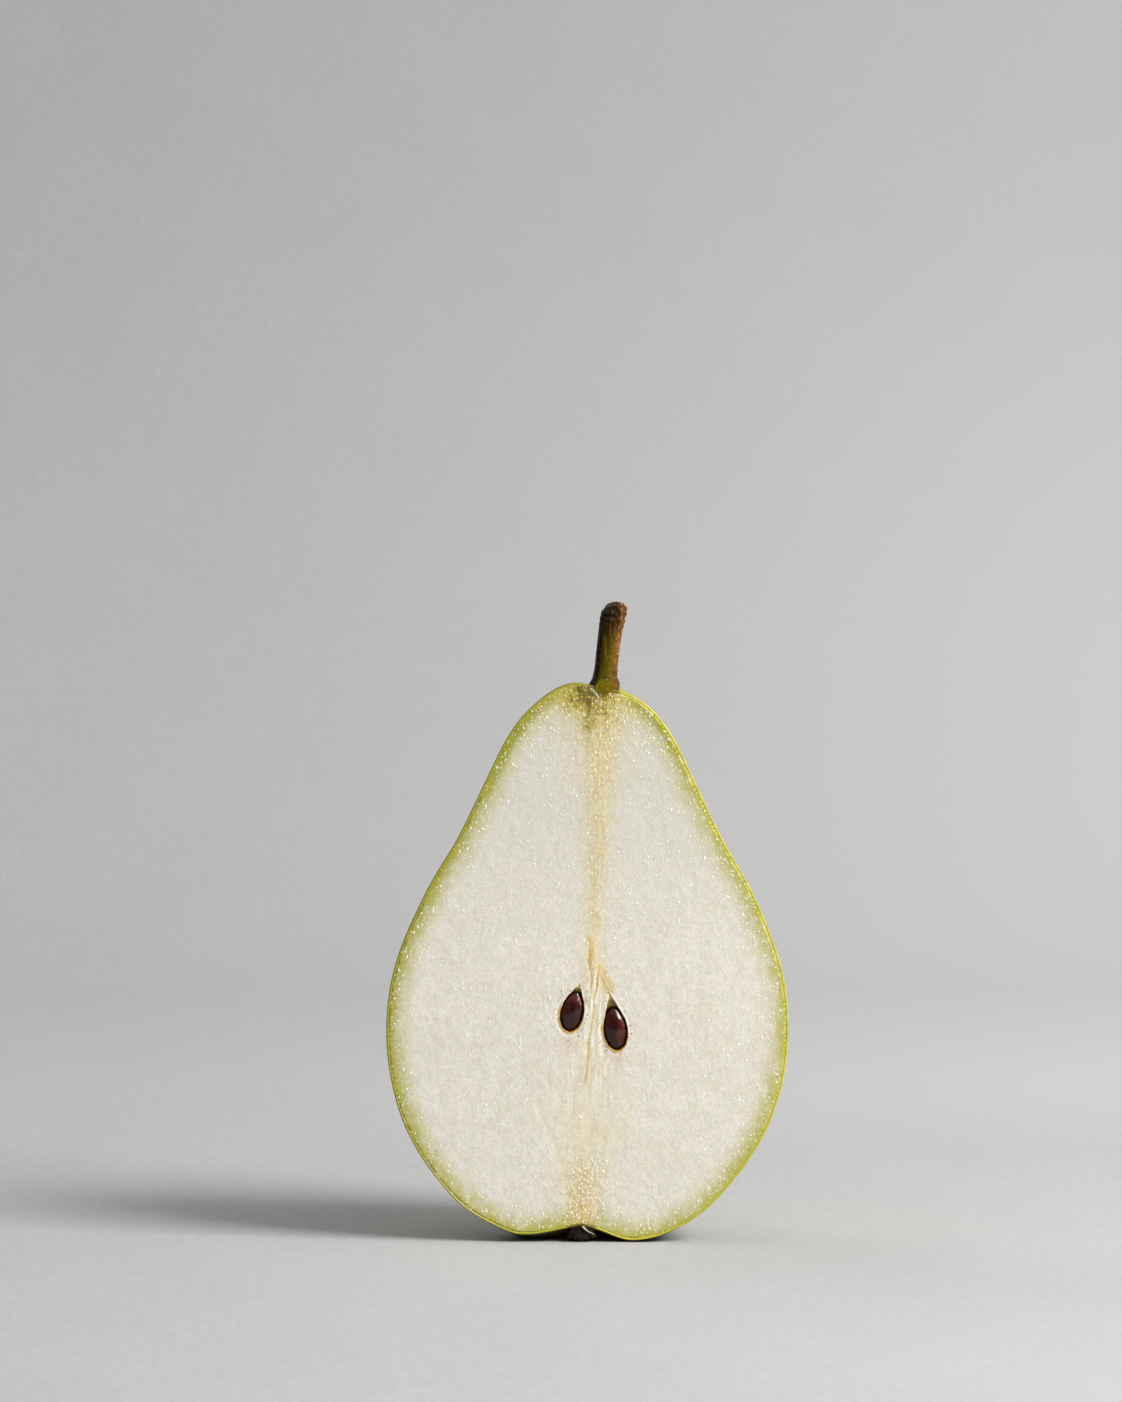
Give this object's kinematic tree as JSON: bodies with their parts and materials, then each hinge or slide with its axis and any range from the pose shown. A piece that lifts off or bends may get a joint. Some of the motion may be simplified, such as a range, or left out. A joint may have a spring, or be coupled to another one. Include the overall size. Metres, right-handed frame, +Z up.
{
  "type": "pear half",
  "caption": "Pear cut lengthwise into a half that stands upright on its own small flat base, with woody stem, dried calyx and seeds showing in open pockets of the cut face",
  "frame": {"origin": "on the floor, at the middle of the half's bounding box", "axes": "+Z up along the core from the calyx to the stem; the flat cut face looks along -Y; +X is to the right of someone who looks at the cut face"},
  "size_m": [0.0702, 0.0353, 0.1122],
  "materials": {
    "fruit": "moist off-white flesh with fine grit on the cut face, waxy yellow-green skin outside",
    "stem_wood": "olive to brown woody stem, satin",
    "dry_calyx": "dry dark brown sepals, matte",
    "seed_coat": "glossy dark red-brown seed coat"
  },
  "bodies": {
    "root": {"pear_half": "fruit", "stem": "stem_wood", "calyx": "dry_calyx", "seed_left": "seed_coat", "seed_right": "seed_coat"}
  },
  "joints": []
}
